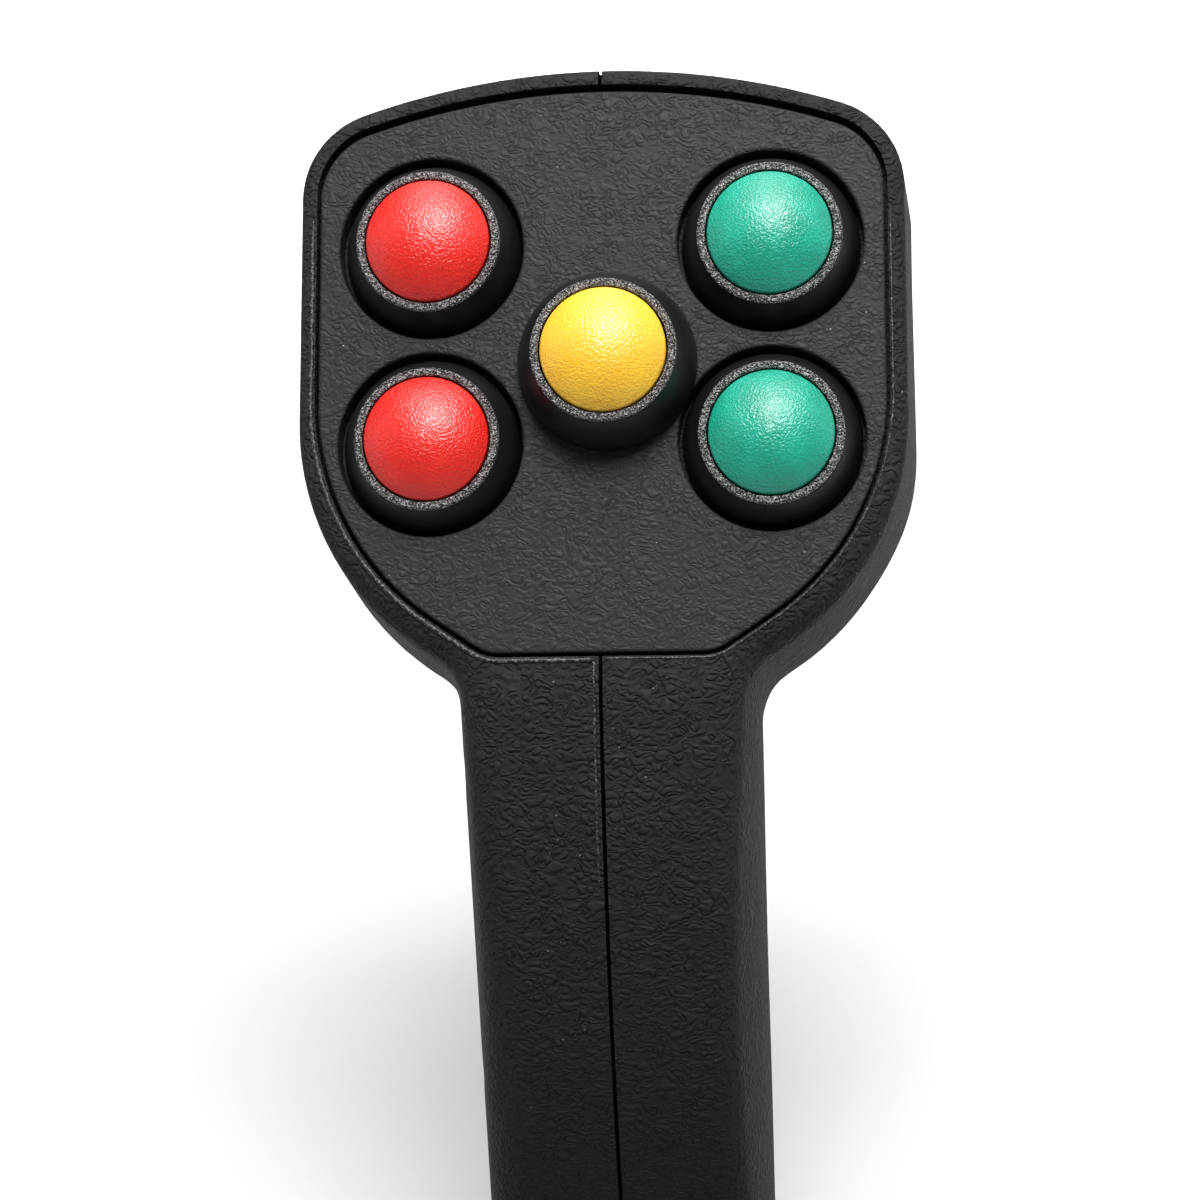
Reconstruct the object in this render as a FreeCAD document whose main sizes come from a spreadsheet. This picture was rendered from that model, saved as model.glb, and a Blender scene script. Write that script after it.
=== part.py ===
import FreeCAD, Part
import math
import os

import Sketcher
from FreeCAD import Placement, Rotation, Vector

# A hand grip with a tilted face plate and five domed push buttons, split down
# its middle into two moulded shells. Millimetres, +Z up the handle, the face
# plate towards -Y. The origin is the centre of the shaft bore's mouth, in the
# flat underside of the handle.

DIMENSIONS = {
    # Face plate. Its own plane leans back from upright; its local origin is on
    # the centre line, level with the two upper buttons.
    "plate_lean": 28, "face_back": 6.3, "face_height": 141.6,
    "plate_thick": 2.4, "plate_gap": 0.45, "plate_round": 0.35, "brow_gap": 0.45, "brow_rise": 0.5,
    "top_rise": 19.1, "top_radius": 88, "corner_radius": 8.5, "corner_out": 25.5, "corner_rise": 6.4,
    "corner_turn": 71.287, "cheek_radius": 32, "cheek_out": 2, "cheek_drop": 18.6, "cheek_turn": 56,
    "chin_drop": 49.4, "chin_out": 12.04, "chin_radius": 5,
    "cup_wall": 1.1, "cup_radius": 11.15, "cup_depth": 3.6, "cup_floor": 2,
    # Shells.
    "rim": 2.42, "wall": 2.6, "head_depth": 34, "head_draft": 3.4, "rim_round": 1.7,
    "back_round": 9, "waist_round": 14.5, "waist_top": 128, "waist_low": 97, "hollow_round": 7,
    "jowl_radius": 32.5, "jowl_drop": 21, "jowl_turn": 68.3,
    "handle_half": 18.35, "handle_round": 9, "neck_round": 6.5,
    "side_radius": 60, "side_reach": 37, "side_front": 3, "hollow_half": 15.65, "hollow_neck": 9.1,
    "bend_drop": 50.6, "front_bend": 25, "front_swell": 160, "handle_lean": 9,
    "foot_front": 18.1, "foot_back": 18, "back_bend": 85, "seam_half": 0.22, "seam_deep": 0.45,
    "rib_across": 24, "rib_depth": 12.7, "rib_height": 90.5, "rib_out": 10, "rib_back": 4.6,
    "rib_rise": 9.4, "rib_radius": 3.6,
    "ledge_width": 2.2, "ledge_thick": 2, "boss_radius": 3.6, "shell_gap": 0.02,
    # Button places on the face plate.
    "button_out": 20.4, "button_drop": 24.1, "centre_drop": 14.6, "centre_out": 0.9,
    # Bezel, ring, cap and what is under them, measured from the bezel's seat.
    "bezel_base": 10.75, "bezel_land": 0.8, "bezel_height": 6.3, "ring_outer": 8.6, "ring_inner": 7.65,
    "ring_thick": 0.8, "cap_radius": 7.42, "dome_rise": 3.3, "cap_skirt": 2.2, "cap_roof": 1.6,
    "shelf_height": 2.9, "bush_bore": 5.55, "bush_outer": 6.8, "bush_length": 8,
    "guide_radius": 5.5, "guide_wall": 0.9, "guide_drop": 4, "pin_radius": 1.6, "pin_hole": 1.66,
    "spring_mean": 3.1, "spring_wire": 0.75, "spring_turns": 5,
    "block_radius": 6.6, "block_wall": 1.2, "block_length": 11, "disc_radius": 4.2, "disc_thick": 0.8,
    "disc_drop": 1.6, "seal_radius": 8.6, "seal_wire": 1, "nut_radius": 9.2, "nut_thick": 2.4,
    "terminal_out": 2.6, "terminal_radius": 0.5, "terminal_head": 1.1, "terminal_top": 12.5,
    # Circuit board on four posts of the face plate.
    "board_depth": 25.6, "board_thick": 1.6, "board_half": 31.3, "board_top": 8.6, "board_bottom": 36,
    "board_nose": 22, "post_radius": 2.6, "board_screw": 1.25, "board_screw_head": 2.4,
    "board_screw_long": 7,
    # Handle fittings.
    "bore_radius": 5, "bush_radius": 9, "bush_height": 32, "groove_radius": 8, "groove_low": 13,
    "groove_high": 17, "collar_radius": 11.4, "set_screw_radius": 2, "set_screw_long": 5.5,
    "set_screw_height": 8, "set_access": 2.6,
    "screw_radius": 1.5, "screw_head": 2.8, "screw_head_thick": 2, "screw_seat": 9, "screw_long": 19,
    "screw_well": 3.3,
    "wire_radius": 0.7, "wire_pitch": 1.8,
}

BUTTONS = {
    "red_upper": ("-Dims.button_out", "0", "-Dims.cup_depth"),
    "red_lower": ("-Dims.button_out", "-Dims.button_drop", "-Dims.cup_depth"),
    "yellow_centre": ("Dims.centre_out", "-Dims.centre_drop", "0"),
    "green_upper": ("Dims.button_out", "0", "-Dims.cup_depth"),
    "green_lower": ("Dims.button_out", "-Dims.button_drop", "-Dims.cup_depth"),
}

CORNER_PLACES = [place for place in BUTTONS.values() if place[2] != "0"]

X_AXIS = Vector(1, 0, 0)
Z_AXIS = Vector(0, 0, 1)

document = FreeCAD.newDocument("hand_grip")
sheet = document.addObject("Spreadsheet::Sheet", "Dims")
for row, (alias, value) in enumerate(DIMENSIONS.items(), start=1):
    sheet.set(f"A{row}", alias)
    sheet.set(f"B{row}", str(value))
    sheet.setAlias(f"B{row}", alias)
document.recompute()

nodes = {}


def number(expression):
    """Value of an expression such as "Dims.wall * 2"."""
    return float(sheet.evalExpression(expression.replace("Dims.", "")))


def size(alias):
    """Value of one driving dimension."""
    return float(getattr(sheet, alias))


def name_node(thing, label):
    """Make a document object the sub-part of that name."""
    thing.Label = label
    nodes[label] = thing
    return thing


def face_frame():
    """Placement whose x, y and z run across, up and out of the face plate."""
    origin = Vector(0, size("face_back"), size("face_height"))
    return Placement(origin, Rotation(X_AXIS, 90 - size("plate_lean")))


def on_face(x="0", y="0", z="0"):
    """Placement on the face plate at a local point given by expressions."""
    return face_frame() * Placement(Vector(number(x), number(y), number(z)), Rotation())


# ---------------------------------------------------------------- sketches

def new_body(name):
    return document.addObject("PartDesign::Body", name)


def body_sketch(body, role, name):
    """Sketch on one of the body's own origin planes."""
    sketch = body.newObject("Sketcher::SketchObject", name)
    plane = next(item for item in body.Origin.OriginFeatures if item.Role == role)
    sketch.AttachmentSupport = [(plane, "")]
    sketch.MapMode = "FlatFace"
    return sketch


def bind(sketch, kind, places, expression):
    """Add one constraint whose value follows an expression."""
    value = number(expression)
    if kind == "Angle":
        value = math.radians(value)
    index = sketch.addConstraint(Sketcher.Constraint(kind, *places, value))
    if "Dims." in expression:
        unit = " * 1 deg" if kind == "Angle" else ""
        sketch.setExpression(f"Constraints[{index}]", f"({expression}){unit}")


def pin(sketch, edge, point, x, y):
    """Hold one point of an edge at a place given by two expressions."""
    bind(sketch, "DistanceX", (-1, 1, edge, point), x)
    bind(sketch, "DistanceY", (-1, 1, edge, point), y)


def outward_arc(start, end, radius):
    """Arc from start to end that bows to the right of the way it runs."""
    chord = end - start
    middle = (start + end) * 0.5
    side = Vector(chord.y, -chord.x, 0).normalize()
    rise = radius - math.sqrt(radius * radius - chord.Length ** 2 / 4)
    return Part.Arc(start, middle + side * rise, end)


def polygon(sketch, corners):
    """Closed outline through corners (x, y), run counter-clockwise; a third
    expression makes the edge that leaves the corner an arc of that radius."""
    first = sketch.GeometryCount
    count = len(corners)
    points = [Vector(number(corner[0]), number(corner[1]), 0) for corner in corners]
    for index, corner in enumerate(corners):
        start, end = points[index], points[(index + 1) % count]
        if len(corner) == 3:
            edge = outward_arc(start, end, number(corner[2]))
        else:
            edge = Part.LineSegment(start, end)
        sketch.addGeometry(edge, False)
    begins = {}
    for index, corner in enumerate(corners):
        edge = first + index
        near = math.dist(end_of(sketch, edge, 1), points[index][:2]) < 1e-4
        begins[index] = (1, 2) if near else (2, 1)
        if len(corner) == 3:
            bind(sketch, "Radius", (edge,), corner[2])
    for index in range(count):
        following = (index + 1) % count
        tie(sketch, "Coincident", first + index, begins[index][1], first + following, begins[following][0])
    for index, corner in enumerate(corners):
        pin(sketch, first + index, begins[index][0], corner[0], corner[1])


def circle(sketch, x, y, radius):
    centre = Vector(number(x), number(y), 0)
    edge = sketch.addGeometry(Part.Circle(centre, Z_AXIS, number(radius)), False)
    pin(sketch, edge, 3, x, y)
    bind(sketch, "Radius", (edge,), radius)


def line(sketch, start, end):
    return sketch.addGeometry(Part.LineSegment(Vector(*start, 0), Vector(*end, 0)), False)


def tie(sketch, kind, first, first_end, second, second_end):
    sketch.addConstraint(Sketcher.Constraint(kind, first, first_end, second, second_end))


def end_of(sketch, edge, which):
    curve = sketch.Geometry[edge]
    point = curve.StartPoint if which == 1 else curve.EndPoint
    return (point.x, point.y)


# ---------------------------------------------------------------- features

def pad(body, sketch, name, length, reverse=False):
    feature = body.newObject("PartDesign::Pad", name)
    feature.Profile = sketch
    feature.setExpression("Length", length)
    feature.Reversed = reverse
    document.recompute()
    return feature


def pocket(body, sketch, name, length, reverse=False):
    """Cut a sketch into the body; the volume has to fall."""
    before = body.Shape.Volume
    feature = body.newObject("PartDesign::Pocket", name)
    feature.Profile = sketch
    feature.setExpression("Length", length)
    feature.Reversed = reverse
    document.recompute()
    assert body.Shape.Volume < before - 0.01, f"{name} cuts nothing"
    return feature


def turned(name, corners):
    """Body revolved about its own Z from corners (radius, height)."""
    body = new_body(name)
    sketch = body_sketch(body, "XZ_Plane", f"{name}_profile")
    polygon(sketch, corners)
    feature = body.newObject("PartDesign::Revolution", f"{name}_turn")
    feature.Profile = sketch
    feature.ReferenceAxis = (sketch, ["V_Axis"])
    feature.Angle = 360
    document.recompute()
    return body


def round_edges(body, name, expression, wanted):
    """Fillet the edges of the body's last shape that a test picks."""
    picked = [f"Edge{i}" for i, edge in enumerate(body.Shape.Edges, 1)
              if not edge.Degenerated and wanted(edge)]
    assert picked, f"{name} finds no edge"
    base = body.Tip
    feature = body.newObject("PartDesign::Fillet", name)
    feature.Base = (base, picked)
    feature.setExpression("Radius", expression)
    document.recompute()
    return feature


def ring_edge(radius, height):
    """Test for a circular edge about the body's own Z."""
    def wanted(edge):
        curve = edge.Curve
        if not isinstance(curve, Part.Circle):
            return False
        centred = math.hypot(curve.Center.x, curve.Center.y) < 1e-3
        return centred and abs(curve.Radius - radius) < 1e-3 and abs(curve.Center.z - height) < 1e-3
    return wanted


# ---------------------------------------------------------------- outlines

RIGHT_CORNER = ("Dims.corner_out", "Dims.corner_rise", "Dims.corner_radius", "0", "Dims.corner_turn")
LEFT_CORNER = ("-Dims.corner_out", "Dims.corner_rise", "Dims.corner_radius",
               "180 - Dims.corner_turn", "180")
TOP_ARC = ("0", "Dims.top_rise - Dims.top_radius", "Dims.top_radius",
           "Dims.corner_turn", "180 - Dims.corner_turn")
CROWN = [RIGHT_CORNER, TOP_ARC, LEFT_CORNER]
CHEEKS = [
    ("-Dims.cheek_out", "-Dims.cheek_drop", "Dims.cheek_radius", "180", "180 + Dims.cheek_turn"),
    ("-Dims.chin_out", "Dims.chin_radius - Dims.chin_drop", "Dims.chin_radius",
     "180 + Dims.cheek_turn", "270"),
    ("Dims.chin_out", "Dims.chin_radius - Dims.chin_drop", "Dims.chin_radius",
     "270", "360 - Dims.cheek_turn"),
    ("Dims.cheek_out", "-Dims.cheek_drop", "Dims.cheek_radius", "-Dims.cheek_turn", "0"),
]
JOWL_OUT = "(Dims.corner_out + Dims.corner_radius - Dims.jowl_radius + Dims.rim)"
JOWLS = [
    (f"-{JOWL_OUT}", "-Dims.jowl_drop", "Dims.jowl_radius - Dims.rim", "180", "180 + Dims.jowl_turn"),
    (JOWL_OUT, "-Dims.jowl_drop", "Dims.jowl_radius - Dims.rim", "-Dims.jowl_turn", "0"),
]


def raised(arcs, rise):
    """The same arcs with their centres moved up the face."""
    return [(x, f"{y} + {rise}", radius, start, end) for x, y, radius, start, end in arcs]


PLATE_OUTLINE = CROWN + CHEEKS
SEAT_OUTLINE = raised(CROWN, "Dims.brow_gap") + CHEEKS
HEAD_OUTLINE = raised(CROWN, "Dims.brow_rise") + JOWLS


def rounded_outline(sketch, arcs, grow="0"):
    """Closed outline of arcs (x, y, radius, start, end), joined by straight edges."""
    edges = []
    for x, y, radius, start, end in arcs:
        radius = f"({radius} + {grow})"
        centre = Vector(number(x), number(y), 0)
        base = Part.Circle(centre, Z_AXIS, number(radius))
        curve = Part.ArcOfCircle(base, math.radians(number(start)), math.radians(number(end)))
        edge = sketch.addGeometry(curve, False)
        bind(sketch, "Radius", (edge,), radius)
        edges.append(edge)
        if "top_radius" in radius:
            continue
        for point, angle in ((1, start), (2, end)):
            across = f"{x} + {radius} * cos(({angle}) * 1 deg)"
            up = f"{y} + {radius} * sin(({angle}) * 1 deg)"
            pin(sketch, edge, point, across, up)
    for this, following in zip(edges, edges[1:] + edges[:1]):
        start = end_of(sketch, this, 2)
        end = end_of(sketch, following, 1)
        if math.dist(start, end) < 0.01:
            tie(sketch, "Coincident", this, 2, following, 1)
        else:
            bridge = line(sketch, start, end)
            tie(sketch, "Coincident", this, 2, bridge, 1)
            tie(sketch, "Coincident", bridge, 2, following, 1)


def face_sketch(name, arcs, grow="0", depth="0"):
    """Free sketch parallel to the face plate, at a depth behind it."""
    sketch = document.addObject("Sketcher::SketchObject", name)
    sketch.Placement = on_face(z=f"-({depth})")
    rounded_outline(sketch, arcs, grow)
    document.recompute()
    return sketch


def face_block(name, arcs, length, grow="0", depth="0", draft=None):
    """Solid from a face outline, running back from a depth behind the plate."""
    block = document.addObject("Part::Extrusion", name)
    block.Base = face_sketch(f"{name}_outline", arcs, grow, depth)
    block.DirMode = "Normal"
    block.Reversed = True
    block.Solid = True
    block.setExpression("LengthFwd", length)
    if draft:
        block.setExpression("TaperAngle", draft)
    document.recompute()
    return block


def plate_point(along, depth):
    """Side-view Y and Z of a point up the face plate and behind it."""
    sine = "sin(Dims.plate_lean * 1 deg)"
    cosine = "cos(Dims.plate_lean * 1 deg)"
    back = f"Dims.face_back + ({along}) * {sine} + ({depth}) * {cosine}"
    up = f"Dims.face_height + ({along}) * {cosine} - ({depth}) * {sine}"
    return back, up


def side_profile(name, inset="0"):
    """Side view of the grip, in Y and Z, moved inward by an inset."""
    sketch = document.addObject("Sketcher::SketchObject", name)
    sketch.Placement = Placement(Vector(), Rotation(Vector(1, 1, 1), 120))
    tip = "Dims.handle_lean * 1 deg"
    corners = {
        "front_top": plate_point("30", inset),
        "front_bend": plate_point("-Dims.bend_drop", inset),
        "front_foot": (f"({inset}) * (1 - sin({tip})) / cos({tip}) - Dims.foot_front", inset),
        "back_foot": (f"Dims.foot_back - ({inset}) * (1 + sin({tip})) / cos({tip})", inset),
        "back_top": plate_point("30", f"Dims.head_depth - ({inset})"),
    }
    spot = {key: Vector(number(y), number(z), 0) for key, (y, z) in corners.items()}
    lean = math.radians(size("plate_lean"))
    foot = math.radians(size("handle_lean"))
    bend = size("front_bend") - number(inset)
    swell = size("front_swell") - number(inset)
    hollow = size("back_bend") + number(inset)
    turn = math.radians(14)
    crown = math.pi
    first = spot["front_bend"] + Vector(math.cos(lean), -math.sin(lean), 0) * bend
    knee = first - Vector(math.cos(turn), -math.sin(turn), 0) * bend
    second = knee + Vector(math.cos(turn), -math.sin(turn), 0) * swell
    ankle = second - Vector(math.cos(foot), math.sin(foot), 0) * swell
    low = spot["back_foot"] + Vector(-math.sin(foot), math.cos(foot), 0) * 42
    hub = low + Vector(math.cos(foot), math.sin(foot), 0) * hollow
    high = hub - Vector(math.cos(lean), -math.sin(lean), 0) * hollow

    def bow(centre, radius, start, end):
        base = Part.Circle(centre, Z_AXIS, radius)
        return sketch.addGeometry(Part.ArcOfCircle(base, start, end), False)

    face = sketch.addGeometry(Part.LineSegment(spot["front_top"], spot["front_bend"]), False)
    brow = bow(first, bend, crown - lean, crown - turn)
    palm = bow(second, swell, crown - turn, crown + foot)
    shin = sketch.addGeometry(Part.LineSegment(ankle, spot["front_foot"]), False)
    sole = sketch.addGeometry(Part.LineSegment(spot["front_foot"], spot["back_foot"]), False)
    heel = sketch.addGeometry(Part.LineSegment(spot["back_foot"], low), False)
    web = bow(hub, hollow, crown - lean, crown + foot)
    back = sketch.addGeometry(Part.LineSegment(high, spot["back_top"]), False)
    lid = sketch.addGeometry(Part.LineSegment(spot["back_top"], spot["front_top"]), False)

    for edge, point, key in ((face, 1, "front_top"), (face, 2, "front_bend"), (shin, 2, "front_foot"),
                             (heel, 1, "back_foot"), (back, 2, "back_top")):
        pin(sketch, edge, point, *corners[key])
    for pair in ((shin, 2, sole, 1), (sole, 2, heel, 1), (back, 2, lid, 1), (lid, 2, face, 1)):
        tie(sketch, "Coincident", *pair)
    for pair in ((face, 2, brow, 1), (brow, 2, palm, 1), (palm, 2, shin, 1),
                 (heel, 2, web, 2), (web, 1, back, 1)):
        tie(sketch, "Tangent", *pair)
    bind(sketch, "Radius", (brow,), f"Dims.front_bend - ({inset})")
    bind(sketch, "Radius", (palm,), f"Dims.front_swell - ({inset})")
    bind(sketch, "Radius", (web,), f"Dims.back_bend + ({inset})")
    bind(sketch, "Angle", (shin,), "Dims.handle_lean - 90")
    bind(sketch, "Angle", (heel,), "90 + Dims.handle_lean")
    bind(sketch, "Angle", (back,), "90 - Dims.plate_lean")
    document.recompute()
    return sketch


def swollen_handle(name):
    """Handle whose sides swell out at mid-depth."""
    sketch = document.addObject("Sketcher::SketchObject", f"{name}_section")
    bow = "Dims.side_radius"
    out = f"(Dims.handle_half - {bow} + sqrt({bow} ^ 2 - Dims.side_reach ^ 2))"
    front, rear = "-Dims.side_front - Dims.side_reach", "Dims.side_reach - Dims.side_front"
    polygon(sketch, [(out, front, bow), (out, rear), (f"-{out}", rear, bow), (f"-{out}", front)])
    document.recompute()
    handle = document.addObject("Part::Extrusion", name)
    handle.Base = sketch
    handle.DirMode = "Normal"
    handle.Solid = True
    handle.setExpression("LengthFwd", "Dims.face_height - 10")
    document.recompute()
    return handle


def straight_handle(name):
    """Plain block for the hollow of the handle."""
    handle = document.addObject("Part::Box", name)
    handle.setExpression("Length", "2 * Dims.hollow_half")
    handle.Width = 90
    handle.setExpression("Height", "Dims.face_height - 10")
    handle.Placement.Base = Vector(-size("hollow_half"), -45, 0)
    return handle


def grip_form(name, handle, inset="0", neck_round="Dims.neck_round"):
    """Head and handle in one smooth solid, moved inward by an inset."""
    head = face_block(f"{name}_head", HEAD_OUTLINE, "Dims.head_depth + 12",
                      f"Dims.rim - ({inset})", draft="Dims.head_draft")
    handle = handle(f"{name}_handle")
    union = document.addObject("Part::Fuse", f"{name}_union")
    union.Base = head
    union.Tool = handle
    document.recompute()
    neck = document.addObject("Part::Fillet", f"{name}_neck")
    neck.Base = union
    radius = number(neck_round)
    reach = handle.Shape.BoundBox.XMax
    picks = []
    for index, edge in enumerate(union.Shape.Edges, 1):
        box = edge.BoundBox
        on_side = all(-3 < abs(point.x) - reach < 0.01 for point in edge_points(edge))
        if on_side and box.YLength > 20 and box.ZLength > 5:
            picks.append((index, radius, radius))
    neck.Edges = picks
    document.recompute()
    slab = document.addObject("Part::Extrusion", f"{name}_slab")
    slab.Base = side_profile(f"{name}_side", inset)
    slab.DirMode = "Normal"
    slab.Solid = True
    slab.Symmetric = True
    slab.LengthFwd = 120
    document.recompute()
    form = document.addObject("Part::Common", f"{name}_form")
    form.Base = neck
    form.Tool = slab
    document.recompute()
    return form


def face_place(point):
    """Local x, y, z of a point in the face plate's frame."""
    return face_frame().inverse().multVec(point)


def edge_points(edge):
    first, last = edge.FirstParameter, edge.LastParameter
    return [edge.valueAt(first), edge.valueAt((first + last) / 2), edge.valueAt(last)]


def front_radius(point):
    """Small round about the face, growing down the shoulders to the handle."""
    rim = size("rim_round")
    jowl = 2.6 * rim
    bend = 3.2 * rim
    along = face_place(point).y
    top, bottom = -size("jowl_drop"), -size("bend_drop") + 2.5
    if along > top:
        return rim
    if along > bottom:
        return rim + (jowl - rim) * (top - along) / (top - bottom)
    drop = (size("face_height") - size("bend_drop") - point.z) / 40
    return min(jowl + (size("handle_round") - jowl) * max(drop, 0), size("handle_round"))


def back_radius(point):
    """Round of the back edges, growing from the head down to the handle."""
    head, waist = size("back_round"), size("waist_round")
    share = (size("waist_top") - point.z) / (size("waist_top") - size("waist_low"))
    return head + (waist - head) * min(max(share, 0), 1)


def rounded(name, solid, picks):
    feature = document.addObject("Part::Fillet", name)
    feature.Base = solid
    feature.Edges = picks
    document.recompute()
    assert not feature.Shape.isNull() and feature.Shape.isValid(), f"{name} failed"
    return feature


def rounded_form(name, form, inset):
    """Form with its back edges, then its front edges, rounded."""
    gap = number(inset)
    depth = size("head_depth") - gap
    low = size("face_height") - size("bend_drop") + 6
    radius = size("back_round") - gap
    picks = []
    for index, edge in enumerate(form.Shape.Edges, 1):
        start, middle, end = edge_points(edge)
        places = [face_place(point) for point in (start, middle, end)]
        on_back = all(abs(place.z + depth) < 0.02 for place in places)
        crosses = abs(start.x - end.x) > 30 and middle.z < 130
        below = places[1].z < -25 and middle.y > 9 - gap and abs(start.y - end.y) > 0.5
        if abs(middle.x) > 14 and middle.z > gap + 0.01 and (on_back or below) and not crosses:
            if gap > size("rim_round"):
                picks.append((index, radius, radius))
            else:
                picks.append((index, back_radius(start) - gap, back_radius(end) - gap))
        elif on_back and middle.z > 130:
            picks.append((index, radius, radius))
    back = rounded(f"{name}_back", form, picks)
    picks = []
    for index, edge in enumerate(back.Shape.Edges, 1):
        start, middle, end = edge_points(edge)
        places = [face_place(point) for point in (start, middle, end)]
        on_face = all(abs(place.z + gap) < 0.02 for place in places)
        crosses = abs(middle.x) < 1 and middle.z < 150
        outside = min(abs(start.x), abs(end.x)) > 14
        on_handle = middle.y < gap - 14 and gap + 0.01 < middle.z < low and outside
        if on_face and not crosses or on_handle and abs(middle.x) > 14:
            if gap > size("rim_round"):
                picks.append((index, size("hollow_round"), size("hollow_round")))
            else:
                picks.append((index, front_radius(start) - gap, front_radius(end) - gap))
    return rounded(f"{name}_front", back, picks)


def fused(name, pieces):
    feature = document.addObject("Part::MultiFuse", name)
    feature.Shapes = list(pieces)
    feature.Refine = True
    document.recompute()
    return feature


def cut(name, base, *tools):
    """Base less all the tools."""
    feature = document.addObject("Part::Cut", name)
    feature.Base = base
    feature.Tool = tools[0] if len(tools) == 1 else fused(f"{name}_tools", tools)
    document.recompute()
    return feature


def cylinder(name, radius, length, place):
    feature = document.addObject("Part::Cylinder", name)
    feature.setExpression("Radius", radius)
    feature.setExpression("Height", length)
    feature.Placement = place
    return feature


ALONG_X = Rotation(Vector(0, 1, 0), 90)
ALONG_Y = Rotation(Vector(1, 0, 0), -90)


def screw_places():
    """Y and Z of the four screws that hold the shells together."""
    head = face_frame().multVec(Vector(0, 11.4, -20))
    return [(head.y, head.z), (-12.5, 80), (7, 40), (-11, 40)]


def middle_slab(name, half):
    """Thin upright slab across the centre plane."""
    slab = document.addObject("Part::Box", name)
    slab.Length, slab.Width, slab.Height = 2 * half, 120, 200
    slab.Placement.Base = Vector(-half, -50, -10)
    return slab


def seam_groove():
    """Shallow groove all round the grip where the shells meet."""
    depth = size("seam_deep")
    core = document.addObject("Part::Common", "seam_core")
    core.Base = grip_form("seam_line", swollen_handle, "Dims.seam_deep")
    core.Tool = middle_slab("seam_band", 1)
    document.recompute()
    picks = []
    for index, edge in enumerate(core.Shape.Edges, 1):
        start, middle, end = edge_points(edge)
        if abs(start.x - end.x) < 1.9:
            continue
        if middle.z > 150:
            picks.append((index, size("rim_round") - depth, size("rim_round") - depth))
        elif middle.z > 135:
            picks.append((index, size("back_round") - depth, size("back_round") - depth))
    core = rounded("seam_core_round", core, picks)
    return cut("seam_groove", middle_slab("seam_slit", size("seam_half")), core)


# ---------------------------------------------------------------- shells

def neck_ribs():
    """Inner ribs that keep the wall thick where the head's back meets the handle."""
    ribs = []
    for side, sign in (("left", -1), ("right", 1)):
        half = Vector(sign * size("rib_out"), size("rib_back"), size("rib_rise"))
        middle = Vector(sign * size("rib_across"), size("rib_depth"), size("rib_height"))
        place = Placement(middle - half, Rotation(Z_AXIS, half))
        ribs.append(cylinder(f"{side}_neck_rib", "Dims.rib_radius", str(2 * half.Length), place))
    return ribs


def make_shells():
    """Both half shells: the outside form less its hollow, seats, bosses and groove."""
    form = rounded_form("outside", grip_form("outer", swollen_handle), "0")
    foot_edges = [(index, 1.5, 1.5) for index, edge in enumerate(form.Shape.Edges, 1)
                  if edge.BoundBox.ZMax < 0.01]
    form = rounded("foot_round", form, foot_edges)
    core = grip_form("inner", straight_handle, "Dims.wall", "Dims.hollow_neck")
    hollow = rounded_form("inside", core, "Dims.wall")

    ledge_outer = face_block("ledge_outer", PLATE_OUTLINE, "Dims.ledge_thick", "1.2", "Dims.plate_thick")
    ledge_inner = face_block("ledge_inner", PLATE_OUTLINE, "Dims.ledge_thick",
                             "-Dims.ledge_width", "Dims.plate_thick")
    ledge = cut("ledge", ledge_outer, ledge_inner)
    hollow = cut("hollow", hollow, ledge, *neck_ribs())
    seat = face_block("plate_seat", SEAT_OUTLINE, "Dims.plate_thick + 1", "Dims.plate_gap", "-1")
    window = face_block("plate_window", PLATE_OUTLINE, "Dims.ledge_thick + 1",
                        "-Dims.ledge_width", "Dims.plate_thick - 1")
    bites = []
    for count, (x, y, z) in enumerate(CORNER_PLACES):
        bite = on_face(x, y, "-Dims.cup_depth - Dims.cup_floor - 0.5")
        bites.append(cylinder(f"bite{count}", "Dims.cup_radius + Dims.cup_wall + 0.15", "8", bite))
    shell = cut("shell", form, hollow, seat, window, *bites)

    inner_bosses = []
    for count, (back, height) in enumerate(screw_places()):
        place = Placement(Vector(-60, back, height), ALONG_X)
        inner_bosses.append(cylinder(f"boss{count}", "Dims.boss_radius", "120", place))
    collar = cylinder("collar", "Dims.collar_radius", "Dims.bush_height - 2", Placement())
    stock = fused("boss_stock", inner_bosses + [collar])
    inside = document.addObject("Part::Common", "boss_inside")
    inside.Base = form
    inside.Tool = stock
    document.recompute()
    shell = fused("shell_bosses", [shell, inside])
    bush_space = turned("bush_space", bush_corners("0"))
    access_place = Placement(Vector(0, 5, size("set_screw_height")), ALONG_Y)
    access = cylinder("set_access", "Dims.set_access", "30", access_place)
    shell = cut("shell_core", shell, bush_space, access, seam_groove())

    for side, sign in (("left", -1), ("right", 1)):
        half = document.addObject("Part::Box", f"{side}_half")
        half.Length, half.Width, half.Height = 60, 120, 200
        start = size("shell_gap") if sign > 0 else -60 - size("shell_gap")
        half.Placement.Base = Vector(start, -50, -10)
        part = document.addObject("Part::Common", f"{side}_part")
        part.Base = shell
        part.Tool = half
        document.recompute()
        part = cut(f"{side}_housing", part, *screw_holes(sign))
        name_node(part, f"{side}_housing")


def screw_holes(sign):
    """Wells and clearance holes in the left shell (-1), or pilot holes in the right one."""
    holes = []
    for count, (back, height) in enumerate(screw_places()):
        if sign < 0:
            well = Placement(Vector(-60, back, height), ALONG_X)
            holes.append(cylinder(f"well{count}", "Dims.screw_well", "60 - Dims.screw_seat", well))
            through = Placement(Vector(-20, back, height), ALONG_X)
            holes.append(cylinder(f"through{count}", "Dims.screw_radius + 0.1", "30", through))
        else:
            pilot = Placement(Vector(-1, back, height), ALONG_X)
            depth = "Dims.screw_long - Dims.screw_seat + 1"
            holes.append(cylinder(f"pilot{count}", "Dims.screw_radius", depth, pilot))
    return holes


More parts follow.
